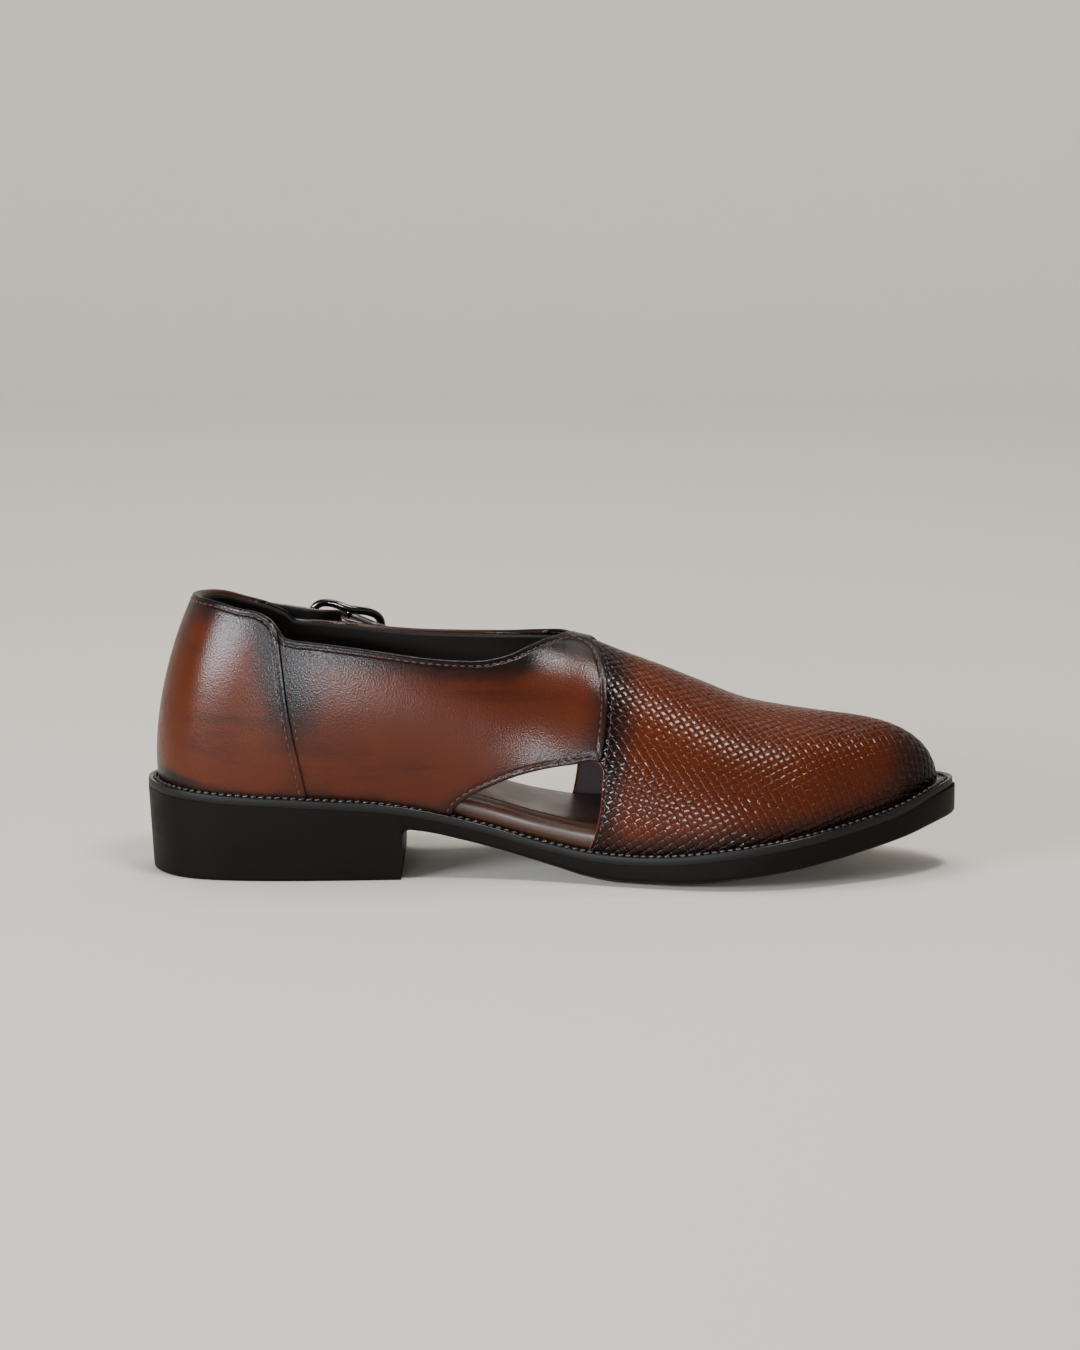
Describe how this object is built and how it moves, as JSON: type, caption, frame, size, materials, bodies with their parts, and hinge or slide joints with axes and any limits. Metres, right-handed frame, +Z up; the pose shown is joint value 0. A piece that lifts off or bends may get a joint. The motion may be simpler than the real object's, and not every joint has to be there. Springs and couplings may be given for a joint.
{
  "type": "peshawari chappal",
  "caption": "Closed-toe dress chappal for the left foot: basket-weave embossed vamp, plain quarters and counter, side cut-outs, buckled strap, stitched welt and low heel.",
  "frame": {"origin": "on the floor, in the middle of the flat underside of the heel", "axes": "+X to the toe, +Y to the outer side where the buckle is, +Z up"},
  "size_m": [0.297, 0.1019, 0.1013],
  "materials": {
    "sole_rubber": "matt brown-black moulded rubber",
    "welt_leather": "glossy black, stitched",
    "footbed_leather": "dull brown lining leather with a polished rolled rim",
    "upper_leather": "glossy cognac brown, burnished near black at the edges, basket-weave embossed on the vamp",
    "strap_leather": "glossy brown",
    "tab_leather": "glossy brown",
    "frame_metal": "glossy black",
    "prong_metal": "glossy black"
  },
  "bodies": {
    "root": {"sole": "sole_rubber", "welt": "welt_leather", "footbed": "footbed_leather", "upper": "upper_leather", "strap": "strap_leather", "buckle_tab": "tab_leather", "buckle_frame": "frame_metal", "buckle_prong": "prong_metal"}
  },
  "joints": []
}
